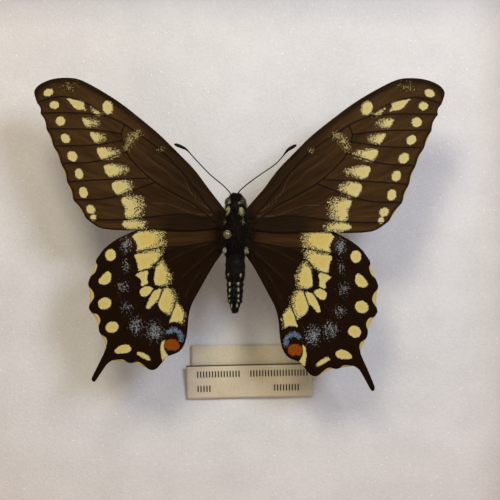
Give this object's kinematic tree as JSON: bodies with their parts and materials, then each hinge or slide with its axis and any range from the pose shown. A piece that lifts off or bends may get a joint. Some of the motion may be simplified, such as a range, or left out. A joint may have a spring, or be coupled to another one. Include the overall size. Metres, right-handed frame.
{
  "type": "framed butterfly specimen",
  "caption": "Dark swallowtail butterfly with yellow spots, spread and pinned over white foam with blank paper labels, in a plain open-fronted wooden box frame.",
  "frame": {"origin": "middle of the frame's back, on the surface that it rests on", "axes": "+Z out of the picture, towards the viewer; +Y towards the butterfly's head; +X to the viewer's right"},
  "size_m": [0.15, 0.15, 0.045],
  "materials": {
    "frame_wood": "satin varnished beech",
    "back_board": "hardboard, matt",
    "foam": "fine-celled white plastic foam, matt",
    "label_paper": "aged uncoated card, matt",
    "pin": "steel pin with a brassy enamelled head, glossy",
    "body": "dry insect cuticle with black and yellow hair",
    "wing": "dark brown wing scales with yellow, blue and orange marks",
    "limb": "dry dark insect cuticle"
  },
  "bodies": {
    "root": {"frame_rail_front": "frame_wood", "frame_rail_back": "frame_wood", "frame_rail_left": "frame_wood", "frame_rail_right": "frame_wood", "back_board": "back_board", "foam_board": "foam", "label_front": "label_paper", "label_back": "label_paper", "pin": "pin", "body": "body", "forewing_left": "wing", "forewing_right": "wing", "hindwing_left": "wing", "hindwing_right": "wing", "antenna_left": "limb", "antenna_right": "limb", "proboscis": "limb", "leg_fore_left": "limb", "leg_fore_right": "limb", "leg_mid_left": "limb", "leg_mid_right": "limb", "leg_hind_left": "limb", "leg_hind_right": "limb"}
  },
  "joints": []
}
